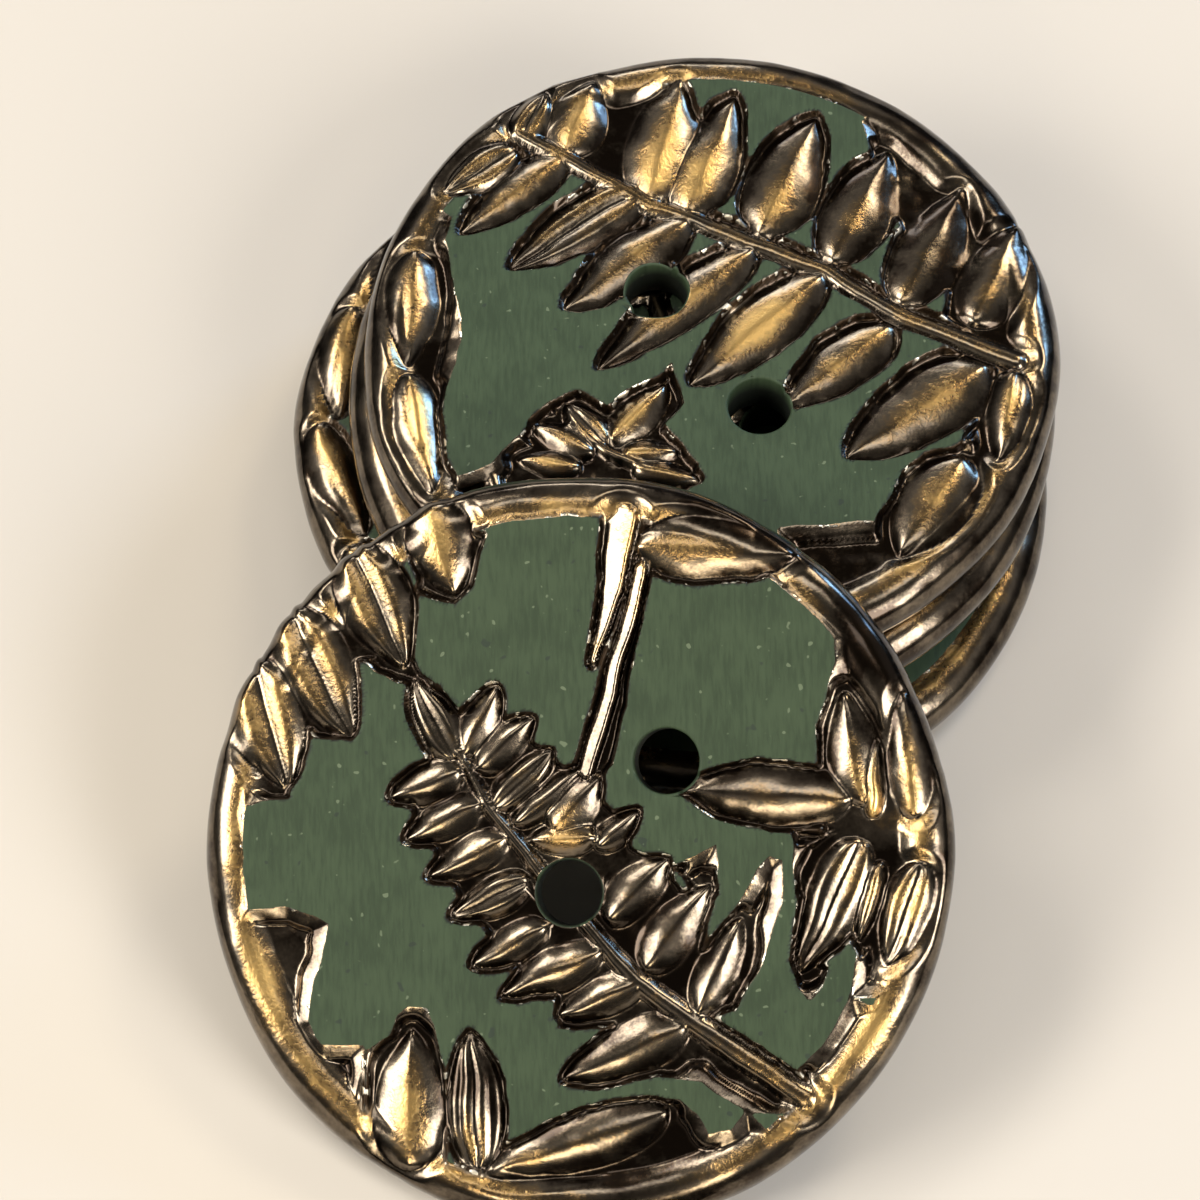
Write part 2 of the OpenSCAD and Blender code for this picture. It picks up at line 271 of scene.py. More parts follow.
LEANING_HOLLOWS = [
    [(-14.6, -2.2), (-12.3, -2.1), (-11.2, -2.5), (-10.6, -2.9), (-10.9, -4.2), (-11.3, -5.3),
     (-11.5, -7), (-10.9, -8), (-9.1, -8.1), (-9.2, -12), (-12, -11), (-15, -5)],
    [(-10.6, 11.2), (-7.4, 8.1), (-9, 8.2), (-10.2, 4.9), (-11.1, 5.1), (-12.6, 7.2)],
    [(-9.1, 8.4), (-8.3, 7.7), (-7.4, 7.2), (-5.4, 7.1), (-6.4, 7.7), (-6.9, 8.6)],
    [(-14.5, 3.8), (-12.3, 3.2), (-12.1, 2.4), (-14.1, 2.2)],
    [(-3.4, 13.5), (-4, 11.2), (-4.8, 10.5), (-6.7, 11.1), (-6, 14.4)],
    [(9.2, 11.6), (9.9, 10.6), (10.8, 9.8), (11.2, 8.8), (11.1, 7.4), (10.8, 6.2), (10.3, 5),
     (10.5, 0.6), (9.3, 0.7), (9.3, -2), (11.5, -3.6), (11.9, -4.6), (11.5, -6.5), (16, -6), (17, 8),
     (12, 13)],
    [(11.6, -6.3), (10.4, -8.3), (9.2, -9.4), (11, -12), (15, -8)],
    [(4.1, -0.7), (6.1, 0.2), (6, -2), (5.1, -2.1)],
    [(7.8, -0.8), (8.2, -0.4), (8.8, -0.6), (8.8, -2.2), (8.3, -3.7), (7.6, -5.3), (6.8, -6.9),
     (5.6, -7.2), (6.2, -3.3), (7, -2.1)],
    [(9.1, -4.8), (9.3, -6), (9.8, -6.6), (10.4, -6), (10.8, -5.1)],
    [(-9, -8.3), (-8.2, -7.7), (-7.8, -6.8), (-7.3, -6.4), (-6.4, -6.5), (-6.1, -7.5), (-5.8, -9.2),
     (-5.7, -14), (-9.3, -13)],
    [(3.2, -10.5), (4.2, -10.6), (5, -11.2), (5.4, -12), (6.3, -11.9), (7, -11.1), (9, -13), (3, -15),
     (-4, -15), (-3.4, -12.6)],
    [(4.4, -7.4), (9.4, -11.3), (7.1, -11.2), (6.1, -10.6), (5.2, -9.8), (3.5, -9.7), (2, -9.3)],
    [(-5, 4.3), (-6.3, 4.3), (-6.9, 1.8), (-6, 0), (-5.1, -1.7), (-4.2, -3), (-2.9, -4.6), (-1, -5.8),
     (-0.9, -7.6), (2, -7.5), (4.5, -7.1), (5.4, -6.8), (5.5, -3.3), (4.1, -1.1), (2.5, 0.1),
     (1.5, 1.9), (-0.2, 3.4), (-1.3, 4.3), (-3.1, 5.5), (-4.3, 5)],
    [(3.1, 11.6), (2.9, 9), (2.8, 7.9), (2.3, 6), (1.7, 3.6), (1.2, 2.9), (0.6, 3.2), (2.1, 8)],
]
LEANING_HOLES = [(4, 3.7), (-0.3, -1.8)]
LEANING_WORN = [
    (12.5, 8, 2.2, -0.7), (-0.7, 0.6, 1.1, 0.5), (0.5, -12.6, 2.6, -0.45), (4, -15, 3.5, -0.4),
    (-13, -4.5, 1.6, 0.4), (13, 1.2, 1.1, 0.5), (11.8, 4.8, 1.6, -0.4), (10.4, -3, 1.8, -0.4),
    (12.4, -8, 1.6, 0.3), (7, 12.6, 2.4, -0.3), (11.6, 10.5, 1.8, -0.4), (-4.4, -10, 1.5, -0.5),
]
LEANING_GOLD_FROM = 8
print(len(LEANING_LEAVES), "leaves on the leaning button")

# %% The top button's fern
TOP_LEAVES = [
    (-8.4, 10.6, -7.4, 13, 1.7, 2), (-6.5, 10.1, -5.2, 13.8, 2.4, 1), (-2.7, 7.6, -1.3, 13.8, 3.3, 1),
    (-1, 6.7, 1.3, 13, 3, 1), (2.3, 5.6, 4.9, 11.9, 3.4, 1), (5.6, 4.2, 8.2, 10.1, 3.2, 1),
    (8.6, 2, 11.4, 8, 3, 1), (11.8, 1, 13.9, 6, 2.8, 1), (-8.8, 10.1, -12, 7.8, 1.9, 2),
    (-6.7, 9.7, -11.2, 5.7, 2.4, 1), (-3.2, 8, -9, 3.8, 2.7, 2), (-1, 6.3, -6.6, 1.6, 2.8, 1),
    (1.9, 4.9, -5, -1.3, 2.5, 1), (5, 3.4, -0.9, -2.2, 3, 1), (8, 0.7, 3.2, -3.2, 2.7, 1),
    (12.2, -1.2, 5.9, -5.8, 3.6, 1), (11, -6, 8.1, -10.6, 3.3, 1), (13.5, -1.5, 12.7, -6, 1.8, 1),
    (-13.3, 4.7, -13.5, -1, 2.3, 1), (-13.4, -1.6, -12.3, -7.6, 1.9, 1), (-4.4, -5, -2, -2.2, 1.8, 1),
    (-4.8, -5.2, -6.4, -3.2, 1.6, 2), (-5.3, -5.6, -7.9, -4.2, 1.3, 1),
    (-5.8, -6.3, -8.4, -5.9, 1.2, 1), (-3.9, -5.7, -1.6, -5.6, 1.2, 1), (-3.5, -6.3, -0.6, -7, 1.2, 1),
]
TOP_STEMS = [
    (0.8, 1, 0, [(-8.6, 11), (-6.5, 9.7), (-2.7, 7.2), (1.5, 5.4), (5.1, 3.8), (8.7, 1.2), (13.6, -0.9)]),
    (0.5, 0.5, 0, [(-6.3, -4.3), (-4.7, -5.5), (-1.6, -6.9)]),
]
TOP_HOLLOWS = [
    [(-13, 7.4), (-11.6, 6.4), (-11.9, 5.2), (-11.1, 1), (-11.5, -1.5), (-12.2, -5), (-11.2, -6.9),
     (-9.6, -6.3), (-9, -8), (-12, -11), (-17, -4), (-16, 6)],
    [(-10, -6.6), (-8.9, -5.2), (-8.1, -4.2), (-7.2, -3.2), (-5.9, -2.5), (-4.6, -3.4), (-3.4, -3.2),
     (-1.7, -1.2), (-1.2, -3.3), (-2.1, -4.4), (-0.7, -6.3), (-1.2, -7.6), (-5, -8.4), (-9.6, -8)],
    [(-9.7, 14), (-9.4, 10.9), (-6.4, 9.4), (-3, 7.5), (-1.2, 8.6), (-2.1, 14.7)],
    [(12.8, -0.8), (11.7, -3.6), (10.9, -5.2), (10, -5.9), (7.2, -8.6), (7, -9.2), (2.8, -9.4),
     (3, -15), (12, -12), (17, -4), (16, 4)],
    [(7.9, 7.6), (8.7, 5.9), (9.8, 4.5), (10.6, 2.6), (10.3, 1.3), (13.6, -0.9), (16, -1), (15, 6),
     (14, 9), (9, 13), (7, 11.6)],
]
TOP_HOLES = [(-2.4, 2.6), (2.1, -3.4)]
TOP_WORN = [
    (0, 0, 60, -0.12), (-2.5, 8.6, 2.2, 0.35), (2, 0.8, 2, 0.45), (9, 9, 5, -0.4), (-4.5, 5, 3, -0.1),
    (4, 6, 1.6, 0.2), (-15, -4, 3, 0.3), (11.5, 5, 3, -0.35),
]
print(len(TOP_LEAVES), "leaves on the top button")

# %% The covered buttons' fern
FERN_FOOT, FERN_TIP = np.array((4.4, -10)), np.array((-4.4, 10))
FERN_PAIRS, FERN_SPREAD, FERN_RIDGES = 6, 50, 2
FERN_LEAF_L, FERN_LEAF_W, FERN_LEAF_STEP = 5.6, 1.8, 0.5
RIM_COUNT, RIM_TURN, RIM_INSET, RIM_LEAF_L, RIM_LEAF_W = 13, 10, 1.9, 6, 2.3
COVERED_STEMS = [(1, 0.5, 0, [tuple(FERN_FOOT), tuple(FERN_TIP)])]
COVERED_HOLES = [(-3.2, 2), (3.2, -2)]


def fern_leaves():
    """Leaves in pairs up a straight stem, shorter towards the tip."""
    leaves = []
    for i in range(FERN_PAIRS):
        base = FERN_FOOT + (FERN_TIP - FERN_FOOT) * (i + 0.5) / FERN_PAIRS
        for side in (-1, 1):
            turn = math.atan2(FERN_TIP[1], FERN_TIP[0]) + side * math.radians(FERN_SPREAD)
            tip = base + (FERN_LEAF_L - FERN_LEAF_STEP * i) * np.array((math.cos(turn), math.sin(turn)))
            leaves.append((*base, *tip, FERN_LEAF_W, FERN_RIDGES))
    return leaves


def rim_leaves(diameter):
    """Leaves that lie along a button's rim, each turned a little from the rim's own direction."""
    leaves = []
    for i in range(RIM_COUNT):
        turn = 2 * math.pi * i / RIM_COUNT
        middle = (diameter / 2 - RIM_INSET) * np.array((math.cos(turn), math.sin(turn)))
        turn += math.radians(RIM_TURN)
        half = RIM_LEAF_L / 2 * np.array((-math.sin(turn), math.cos(turn)))
        leaves.append((*(middle - half), *(middle + half), RIM_LEAF_W, 1))
    return leaves


print(len(fern_leaves()), "leaves on each covered button")

# %% [markdown]
# ## Where each button lies
#
# The stacked buttons lie level and are only moved. The leaning button is turned about a level line until
# its lower edge is on the table and its back is on the top button's rim. Its place could be read from the
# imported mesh, but the same two touches give it exactly, as they do in the part's own source.
#
# Each button also says how fine its mesh is, in cells across. One that is seen has the finest. The top
# button bulges a little on one side, by so many millimetres over so many degrees.

# %% Where each button lies
LEAN_TILT, LEAN_HEADING = math.radians(24.4), math.radians(75.8)
LEANING_D, TOP_D = 32, 31.2
TOP_AT = np.array((0.2, 2.6))

lean_z = ROLL_R + (LEANING_D / 2 - ROLL_R) * math.sin(LEAN_TILT) - ROLL_Z * math.cos(LEAN_TILT)
lean_run = TOP_D / 2 - ROLL_R + (
    ROLL_R + (3 * BUTTON_T + ROLL_Z - lean_z) * math.cos(LEAN_TILT)) / math.sin(LEAN_TILT)
lean_at = TOP_AT - lean_run * np.array((math.cos(LEAN_HEADING), math.sin(LEAN_HEADING)))
LEAN_PLACE = (Matrix.Translation((*lean_at, lean_z)) @ Matrix.Rotation(LEAN_HEADING, 4, "Z")
              @ Matrix.Rotation(-LEAN_TILT, 4, "Y") @ Matrix.Rotation(-LEAN_HEADING, 4, "Z"))

COVERED = dict(leaves=fern_leaves(), stems=COVERED_STEMS, hollows=[], holes=COVERED_HOLES)
BUTTONS = {
    "bottom_button": dict(COVERED, d=31.8, place=Matrix(), cells=170, seed=1),
    "second_button": dict(COVERED, d=29.4, place=Matrix.Translation((-4.1, 1.4, BUTTON_T)),
                          leaves=fern_leaves() + rim_leaves(29.4), cells=220, seed=2),
    "third_button": dict(COVERED, d=32, place=Matrix.Translation((-0.2, 1.6, 2 * BUTTON_T)), cells=170,
                         seed=3),
    "top_button": dict(leaves=TOP_LEAVES, stems=TOP_STEMS, hollows=TOP_HOLLOWS, holes=TOP_HOLES, d=TOP_D,
                       place=Matrix.Translation((*TOP_AT, 3 * BUTTON_T)), cells=285, seed=4,
                       bulges=[(123, 0.3, 14)], worn=TOP_WORN),
    "leaning_button": dict(leaves=LEANING_LEAVES, stems=LEANING_STEMS, hollows=LEANING_HOLLOWS,
                           holes=LEANING_HOLES, d=LEANING_D, place=LEAN_PLACE, cells=285, seed=5,
                           gold_from=LEANING_GOLD_FROM, worn=LEANING_WORN),
}
print("leaning button's back is at", [round(float(c), 3) for c in (*lean_at, lean_z)])

# %% [markdown]
# ## Reading a relief
#
# A pressed relief has one height at each point, so it needs no separate leaves: a fine round sheet takes
# the height of the highest thing at each of its points. Sculpting by hand would do the same slowly.
# The helpers below say, for many points at once, how far outside a leaf, a stem or a hollow each one is.

# %% Hand-made unevenness
HILLS = 97
FAR_CORNER = 500


def uneven(x, y, size, seed):
    """Smooth chance hills from -1 to 1, about size millimetres apart."""
    hills = np.random.default_rng(seed).uniform(-1, 1, (HILLS, HILLS))
    u, v = x / size + FAR_CORNER, y / size + FAR_CORNER
    i, j = np.floor(u).astype(int), np.floor(v).astype(int)
    fu, fv = u - i, v - j
    fu, fv = fu * fu * (3 - 2 * fu), fv * fv * (3 - 2 * fv)
    i, j, i2, j2 = i % HILLS, j % HILLS, (i + 1) % HILLS, (j + 1) % HILLS
    near = hills[i, j] * (1 - fu) + hills[i2, j] * fu
    far = hills[i, j2] * (1 - fu) + hills[i2, j2] * fu
    return near * (1 - fv) + far * fv


def lumps(x, y, kind, seed):
    """Uneven lumps of one kind, which is how high they are and how far apart."""
    height, apart = kind
    return height * uneven(x, y, apart, seed)


TEST_X = np.linspace(-12, 12, 5)
print("lumps 1 mm high:", lumps(TEST_X, 0 * TEST_X, (1, 1.6), 1).round(2))


# %% Sums of heights
def lower_of(a, b, round_off):
    """The lower of two heights, with the crease between them rounded off."""
    near = np.maximum(round_off - abs(a - b), 0) / round_off
    return np.minimum(a, b) - near * near * round_off / 4


def higher_of(a, b, round_off):
    """The higher of two heights, with the crease between them rounded off."""
    return -lower_of(-a, -b, round_off)


def ease(value):
    """0 below 0, 1 above 1, and smooth between them."""
    value = np.clip(value, 0, 1)
    return value * value * (3 - 2 * value)


print("halfway of an ease:", ease(0.5), "and the lower of two equal heights of 1:", lower_of(1, 1, 0.2))

# %% Distance to an outline
NEAR = 1.6


def from_outline(x, y, corners):
    """How far outside an outline each point is, less than 0 inside it, and NEAR where it is further."""
    corners = np.asarray(corners, float)
    low, high = corners.min(0) - NEAR, corners.max(0) + NEAR
    close = (x > low[0]) & (x < high[0]) & (y > low[1]) & (y < high[1])
    px, py = x[close], y[close]
    away, inside = np.full(px.shape, NEAR), np.zeros(px.shape, bool)
    for (ax, ay), (bx, by) in zip(corners, np.roll(corners, -1, axis=0)):
        ex, ey = bx - ax, by - ay
        t = np.clip(((px - ax) * ex + (py - ay) * ey) / (ex * ex + ey * ey), 0, 1)
        away = np.minimum(away, np.hypot(px - ax - t * ex, py - ay - t * ey))
        if ay != by:
            inside ^= ((ay > py) != (by > py)) & (px < ax + (py - ay) / ey * ex)
    outside = np.full(x.shape, NEAR)
    outside[close] = np.where(inside, -away, away)
    return outside


row_x, row_y = np.linspace(-16, -10, 5), np.full(5, -5.0)
print("mm outside the first hollow:", from_outline(row_x, row_y, LEANING_HOLLOWS[0]).round(2))

# %% Leaves and stems
LEAF_BLUNT, LEAF_POINTED = 0.45, 0.72
LEAF_WIDEST = LEAF_BLUNT / (LEAF_BLUNT + LEAF_POINTED)
LEAF_FULLER = 0.12
LEAF_PLAIN_POWER, LEAF_RIDGED_POWER = 1.5, 2.6
LEAF_STEPS = 12
THINNEST = 0.05


def leaf_room(t):
    """A leaf's width along it, as a part of its greatest: blunt at the base 0, pointed at the tip 1."""
    def curve(t):
        return t ** LEAF_BLUNT * (1 - t) ** LEAF_POINTED
    return curve(np.clip(t, 0, 1)) / curve(LEAF_WIDEST)


def leaf_corners(leaf):
    """The points round a leaf's outline."""
    base, tip = np.array(leaf[:2]), np.array(leaf[2:4])
    t = (1 - np.cos(np.linspace(0, math.pi, LEAF_STEPS + 1))) / 2
    side = np.array((base[1] - tip[1], tip[0] - base[0])) / math.dist(base, tip)
    middle, half = base + np.outer(t, tip - base), np.outer(leaf[4] / 2 * leaf_room(t), side)
    return np.concatenate((middle + half, (middle - half)[-2:0:-1]))


def on_leaf(x, y, leaf):
    """How much each point swells up, from 0 at the leaf's edge to 1, and how far across it is."""
    base_x, base_y, tip_x, tip_y, width, count = leaf
    length = math.hypot(tip_x - base_x, tip_y - base_y)
    way_x, way_y = (tip_x - base_x) / length, (tip_y - base_y) / length
    dx, dy = x - base_x, y - base_y
    t = (dx * way_x + dy * way_y + LEAF_FULLER) / (length + 2 * LEAF_FULLER)
    room = leaf_room(t)
    across = (dy * way_x - dx * way_y) / np.maximum((width / 2 + LEAF_FULLER) * room, THINNEST)
    fullness = LEAF_PLAIN_POWER if count == 1 else LEAF_RIDGED_POWER
    swell = np.maximum(1 - abs(across) ** fullness, 0) * np.sqrt(room)
    return np.where((t > 0) & (t < 1), swell, 0), across


def from_stem(x, y, stem):
    """How far outside a stem each point is, how far across it, and half the stem's width there."""
    first, last, _, path = stem
    outside, across, halves = np.full(x.shape, 1e3), np.zeros(x.shape), np.zeros(x.shape)
    for i in range(len(path) - 1):
        (ax, ay), (bx, by) = path[i], path[i + 1]
        ex, ey = bx - ax, by - ay
        length = math.hypot(ex, ey)
        t = np.clip(((x - ax) * ex + (y - ay) * ey) / length ** 2, 0, 1)
        half = (first + (last - first) * (i + t) / (len(path) - 1)) / 2
        away = np.hypot(x - ax - t * ex, y - ay - t * ey) - half
        side = (ex * (y - ay) - ey * (x - ax)) / length / half
        across = np.where(away < outside, side, across)
        halves = np.where(away < outside, half, halves)
        outside = np.minimum(away, outside)
    return outside, across, halves


print("a leaf is widest", round(LEAF_WIDEST, 2), "of the way along it")

# %% The green face's outline
CORNER_ROUNDING = 0.25
HAND, HAND_FINE, RAGGED = (0.09, 1.6), (0.03, 0.7), (0.05, 0.6)


def handmade(x, y, seed):
    """The points, moved a little as a hand-pressed mould moves them."""
    return (x + lumps(x, y, HAND, seed) + lumps(x, y, HAND_FINE, seed + 10),
            y + lumps(x, y, HAND, seed + 20) + lumps(x, y, HAND_FINE, seed + 30))


def outside_green(x, y, button):
    """How far outside the sanded green face each point is, and less than 0 on it."""
    px, py = handmade(x, y, button["seed"])
    bare = np.full(x.shape, NEAR)
    for leaf in button["leaves"]:
        bare = lower_of(bare, from_outline(px, py, leaf_corners(leaf)) - GROOVE, CORNER_ROUNDING)
    for stem in button["stems"]:
        bare = lower_of(bare, from_stem(px, py, stem)[0] - GROOVE, CORNER_ROUNDING)
    for corners in button["hollows"]:
        bare = lower_of(bare, from_outline(px, py, corners), CORNER_ROUNDING)
    ragged = lumps(x, y, RAGGED, button["seed"] + 40)
    return np.maximum(np.hypot(x, y) - (button["d"] / 2 - EDGE_W), -bare) + ragged


TEST_FACE = [c.ravel() for c in np.meshgrid(np.linspace(-16, 16, 65), np.linspace(-16, 16, 65))]
for name in ("top_button", "leaning_button"):
    green_part = (outside_green(*TEST_FACE, BUTTONS[name]) < 0).sum() / 4
    print(f"the green of the {name} covers {green_part:.0f} square mm")

# %% [markdown]
# ## The height of every point
#
# From low to high a face has bare bronze ground, leaves and stems that swell out of it, and the sanded
# face, which is level. It drops to the ground by a steep narrow wall beside a leaf, and by a gentle slope
# beside bare ground: in the photograph those slopes are the broad white bands. The rim is a plain roll.
# A plain leaf is one round swelling, and a ridged one is flatter, with creases pressed along it. A stem
# whose crest leans to one side has one flat flank, which mirrors the left window from end to end.

# %% Shapes of a leaf's ridges and of a stem
RIDGE_DEPTH, RIDGE_POWER = 0.18, 1.5
FLANK = 0.36
STEM_FOOT = 0.1


def puffed(inside):
    """A quarter-round swelling from 0 at the outline to 1 in the middle."""
    inside = np.clip(inside, 0, 1)
    return np.sqrt(inside * (2 - inside))


def ridges(across, count):
    """Ridges side by side: 1 on their crests and 0 in the creases between them."""
    place = (np.clip(across, -1, 1) + 1) / 2 * count
    return 1 - abs(2 * (place - np.floor(place)) - 1) ** RIDGE_POWER


def stem_height(outside, across, half, lean):
    """A stem's height over the ground: round, or a flat slope up to a crest that leans to one side."""
    across = np.clip(across, -1, 1)
    if lean == 0:
        return STEM_H * puffed(-outside / half)
    slope = LEAF_H - FLANK * half * (lean - across)
    drop = LEAF_H * np.sqrt(np.maximum(1 - across, 0) / (1 - lean))
    return np.where(across < lean, slope, drop) * puffed(-outside / STEM_FOOT)


print("four ridges, edge to edge:", ridges(np.linspace(-1, 1, 9), 4).round(2))

# %% Ground, rim, leaves and stems
GROUND_LUMPS, GROUND_LUMPS_FINE = (0.08, 1.4), (0.03, 0.55)
RIM_LUMPS, RIM_LUMPS_FINE = (0.1, 2.3), (0.015, 0.8)
RIM_DIP, RIM_DIP_REACH, RIM_BLEND = 0.3, 0.8, 0.3
RIM_WIDTH, RIM_FADE = 2.7, 0.6
RIM_CREST, RIM_TOP_CREST, RIM_TOP_IN, RIM_TOP_REACH = 0.12, 0.7, 1.4, 0.6
CREASE_KEPT, CREST_POWER, STEM_CREST = 0.4, 1.5, 0.8


def beside_pattern(px, py, button):
    """How far each point is from the nearest leaf or stem."""
    beside = np.full(px.shape, NEAR)
    for leaf in button["leaves"]:
        beside = np.minimum(beside, from_outline(px, py, leaf_corners(leaf)))
    for stem in button["stems"]:
        beside = np.minimum(beside, from_stem(px, py, stem)[0])
    return beside


def ground_and_rim(x, y, beside, button):
    """Height and crest of the bare ground and the rolled rim. The rim dips where a leaf lies on it."""
    seed, inward = button["seed"], np.hypot(x, y) - button["d"] / 2
    ground = GROUND_Z + lumps(x, y, GROUND_LUMPS, seed + 60) + lumps(x, y, GROUND_LUMPS_FINE, seed + 70)
    roll = ROLL_Z + np.sqrt(np.maximum(ROLL_R ** 2 - (inward + ROLL_R) ** 2, 0))
    roll += lumps(x, y, RIM_LUMPS, seed + 80) + lumps(x, y, RIM_LUMPS_FINE, seed + 85)
    roll -= RIM_DIP * ease(1 - beside / RIM_DIP_REACH)
    roll = np.where(inward > -2 * ROLL_R, roll, 0)
    top = np.exp(-((inward + RIM_TOP_IN) / RIM_TOP_REACH) ** 2)
    crest = ease((inward + RIM_WIDTH) / RIM_FADE) * (RIM_CREST + RIM_TOP_CREST * top)
    return higher_of(ground, roll, RIM_BLEND), crest


def with_leaves(px, py, z, crest, leaves):
    """The same with the leaves standing on it."""
    base = z
    for leaf in leaves:
        swell, across = on_leaf(px, py, leaf)
        width, count = leaf[4:]
        lines = ridges(across, count) if count > 1 else 1
        depth = RIDGE_DEPTH * width / count * (1 - lines) * swell
        top = np.maximum(GROUND_Z + LEAF_H * swell, base + RIM_DIP * swell) - depth
        z = np.maximum(z, np.where(swell > 0, top, -1))
        rubbed = swell ** CREST_POWER * (CREASE_KEPT + (1 - CREASE_KEPT) * lines)
        crest = np.where((swell > 0) & (top >= z), rubbed, crest)
    return z, crest


def with_stems(px, py, z, crest, stems):
    """The same with the stems."""
    for stem in stems:
        outside, across, half = from_stem(px, py, stem)
        height = np.where(outside < 0, stem_height(outside, across, np.maximum(half, 0.01), stem[2]), 0)
        crest = np.where((outside < 0) & (GROUND_Z + height > z), STEM_CREST * height / LEAF_H, crest)
        z = np.maximum(z, GROUND_Z + height)
    return z, crest


rim_z, _ = ground_and_rim(np.full(1, 14.6), np.zeros(1), np.full(1, NEAR), BUTTONS["leaning_button"])
print("the leaning button's rim is", rim_z.round(2)[0], "mm high at its right")

# %% The whole relief
WALL_NARROW, WALL_WIDE, WALL_STEEP = 0.25, 0.6, 1.3
BARE_FROM, BARE_FADE = 0.4, 0.5
WALL_CREST = 0.35
MIDDLE_KEPT, GOLD_FADE = 0.45, 5


def with_wear(x, y, crest, button):
    """Less gold in the middle of the button, and more or less in its worn places."""
    from_middle = np.hypot(x, y) - button.get("gold_from", -GOLD_FADE)
    crest = crest * (MIDDLE_KEPT + (1 - MIDDLE_KEPT) * ease(from_middle / GOLD_FADE))
    for at_x, at_y, reach, amount in button.get("worn", []):
        crest = crest + amount * np.exp(-((x - at_x) ** 2 + (y - at_y) ** 2) / reach ** 2)
    return crest


def relief(x, y, button):
    """Each point's height, its distance outside the green, its rubbed crest, and its steep narrow wall,
    which gets painted shade.
    """
    px, py = handmade(x, y, button["seed"])
    beside = beside_pattern(px, py, button)
    z, crest = ground_and_rim(x, y, beside, button)
    z, crest = with_leaves(px, py, z, crest, button["leaves"])
    z, crest = with_stems(px, py, z, crest, button["stems"])
    outside = outside_green(x, y, button)
    bare = ease((beside - BARE_FROM) / BARE_FADE)
    steep = BUTTON_T - RELIEF * ease(outside / WALL_NARROW)
    sloping = BUTTON_T - FLANK * outside - WALL_STEEP * np.maximum(outside - WALL_WIDE, 0)
    wall = 1 - ease(outside / (WALL_NARROW + (WALL_WIDE - WALL_NARROW) * bare))
    z = np.where(outside < 0, BUTTON_T, np.maximum(z, steep + (sloping - steep) * bare))
    crest = np.maximum(with_wear(x, y, crest, button), WALL_CREST * wall * bare)
    # The last number marks the narrow walls beside leaves, where the finish paints shade.
    return z, outside, crest, wall * (1 - bare) * (outside > 0)


heights = relief(*TEST_FACE, BUTTONS["top_button"])[0]
inner = np.hypot(*TEST_FACE) < TOP_D / 2 - 2 * ROLL_R
print("inside its rim the top button's face is", heights[inner].min().round(2), "to",
      heights[inner].max().round(2), "mm high")

# %% [markdown]
# ## One button as a mesh
#
# A disc made with `create_circle` has its points crowded in the middle. A square grid pressed into a disc
# has them even, so the same fine detail fits everywhere. Points beside the green's outline are moved onto
# it, which keeps that outline crisp. The rim and the hole walls are then extruded from the open edges,
# and one flat fill closes the back. The points round a hole are spread evenly first, because a loop that
# doubles back on itself can't be filled.

# %% Mesh helpers
ROLL_START = math.radians(47)
ROLL_END = math.acos(-ROLL_Z / ROLL_R)
ROLL_STEPS = 11
SMALL_STEP, LEAST_STEEP = 0.02, 0.2
LUMP_KEPT = 0.85
LIP, LIP_TURNS = 0.12, (30, 60, 90)
WALL_DEPTHS = (1.5, 0.8, LIP)
SIDE, HOLE = 1, 2
UNFOLD_TRIES = 3


def pressed_round(x, y):
    """A square's points, -1 to 1, pressed into a disc so that every cell keeps its area."""
    wide = abs(x) > abs(y)
    reach = np.where(wide, x, y)
    other = np.where(wide, y, x) / np.where(reach == 0, 1, reach)
    turn = np.where(wide, math.pi / 4 * other, math.pi / 2 - math.pi / 4 * other)
    return reach * np.cos(turn), reach * np.sin(turn)


def onto_outline(x, y, button, cell):
    """Moves the points beside the green's outline onto it."""
    outside = outside_green(x, y, button)
    slope_x = (outside_green(x + SMALL_STEP, y, button) - outside) / SMALL_STEP
    slope_y = (outside_green(x, y + SMALL_STEP, button) - outside) / SMALL_STEP
    steep = np.maximum(slope_x ** 2 + slope_y ** 2, LEAST_STEEP)
    near = abs(outside) < cell / 2 * np.sqrt(steep)
    return x - np.where(near, outside * slope_x / steep, 0), y - np.where(near, outside * slope_y / steep, 0)


def extruded(bm, edges, kind, kind_layer, move):
    """One more band of faces along a loop of edges. Each new point goes where move says."""
    new = bmesh.ops.extrude_edge_only(bm, edges=edges)["geom"]
    points = {v for v in new if isinstance(v, bmesh.types.BMVert)}
    for v in points:
        v.co = move(v.co)
        v[kind_layer] = kind
    return [e for e in new if isinstance(e, bmesh.types.BMEdge) and e.verts[0] in points
            and e.verts[1] in points]


def spread_round(edges, middle, radius):
    """Moves the points of a loop onto a circle, evenly spaced and in their own order."""
    beside = {}
    for e in edges:
        for v in e.verts:
            beside.setdefault(v, []).append(e.other_vert(v))
    loop = list(edges[0].verts)
    while len(loop) < len(beside):
        one, other = beside[loop[-1]]
        loop.append(other if one == loop[-2] else one)
    turns = np.unwrap([math.atan2(v.co.y - middle.y, v.co.x - middle.x) for v in loop])
    step = math.copysign(2 * math.pi / len(loop), turns[-1] - turns[0])
    start = np.mean(turns - step * np.arange(len(loop)))
    for i, v in enumerate(loop):
        turn = start + step * i
        v.co = middle + radius * Vector((math.cos(turn), math.sin(turn), 0))


def unfold(bm):
    """Smooths the points of the few faces that the moves have turned over."""
    for _ in range(UNFOLD_TRIES):
        bm.normal_update()
        over = [f for f in bm.faces if f.normal.z <= 0]
        loose = {v for f in over for v in f.verts if not v.is_boundary}
        bmesh.ops.smooth_vert(bm, verts=list(loose), factor=0.5, use_axis_x=True, use_axis_y=True,
                              use_axis_z=True)


print("the rolled edge turns from", round(math.degrees(ROLL_START)), "to", round(math.degrees(ROLL_END)),
      "degrees in", ROLL_STEPS, "steps")

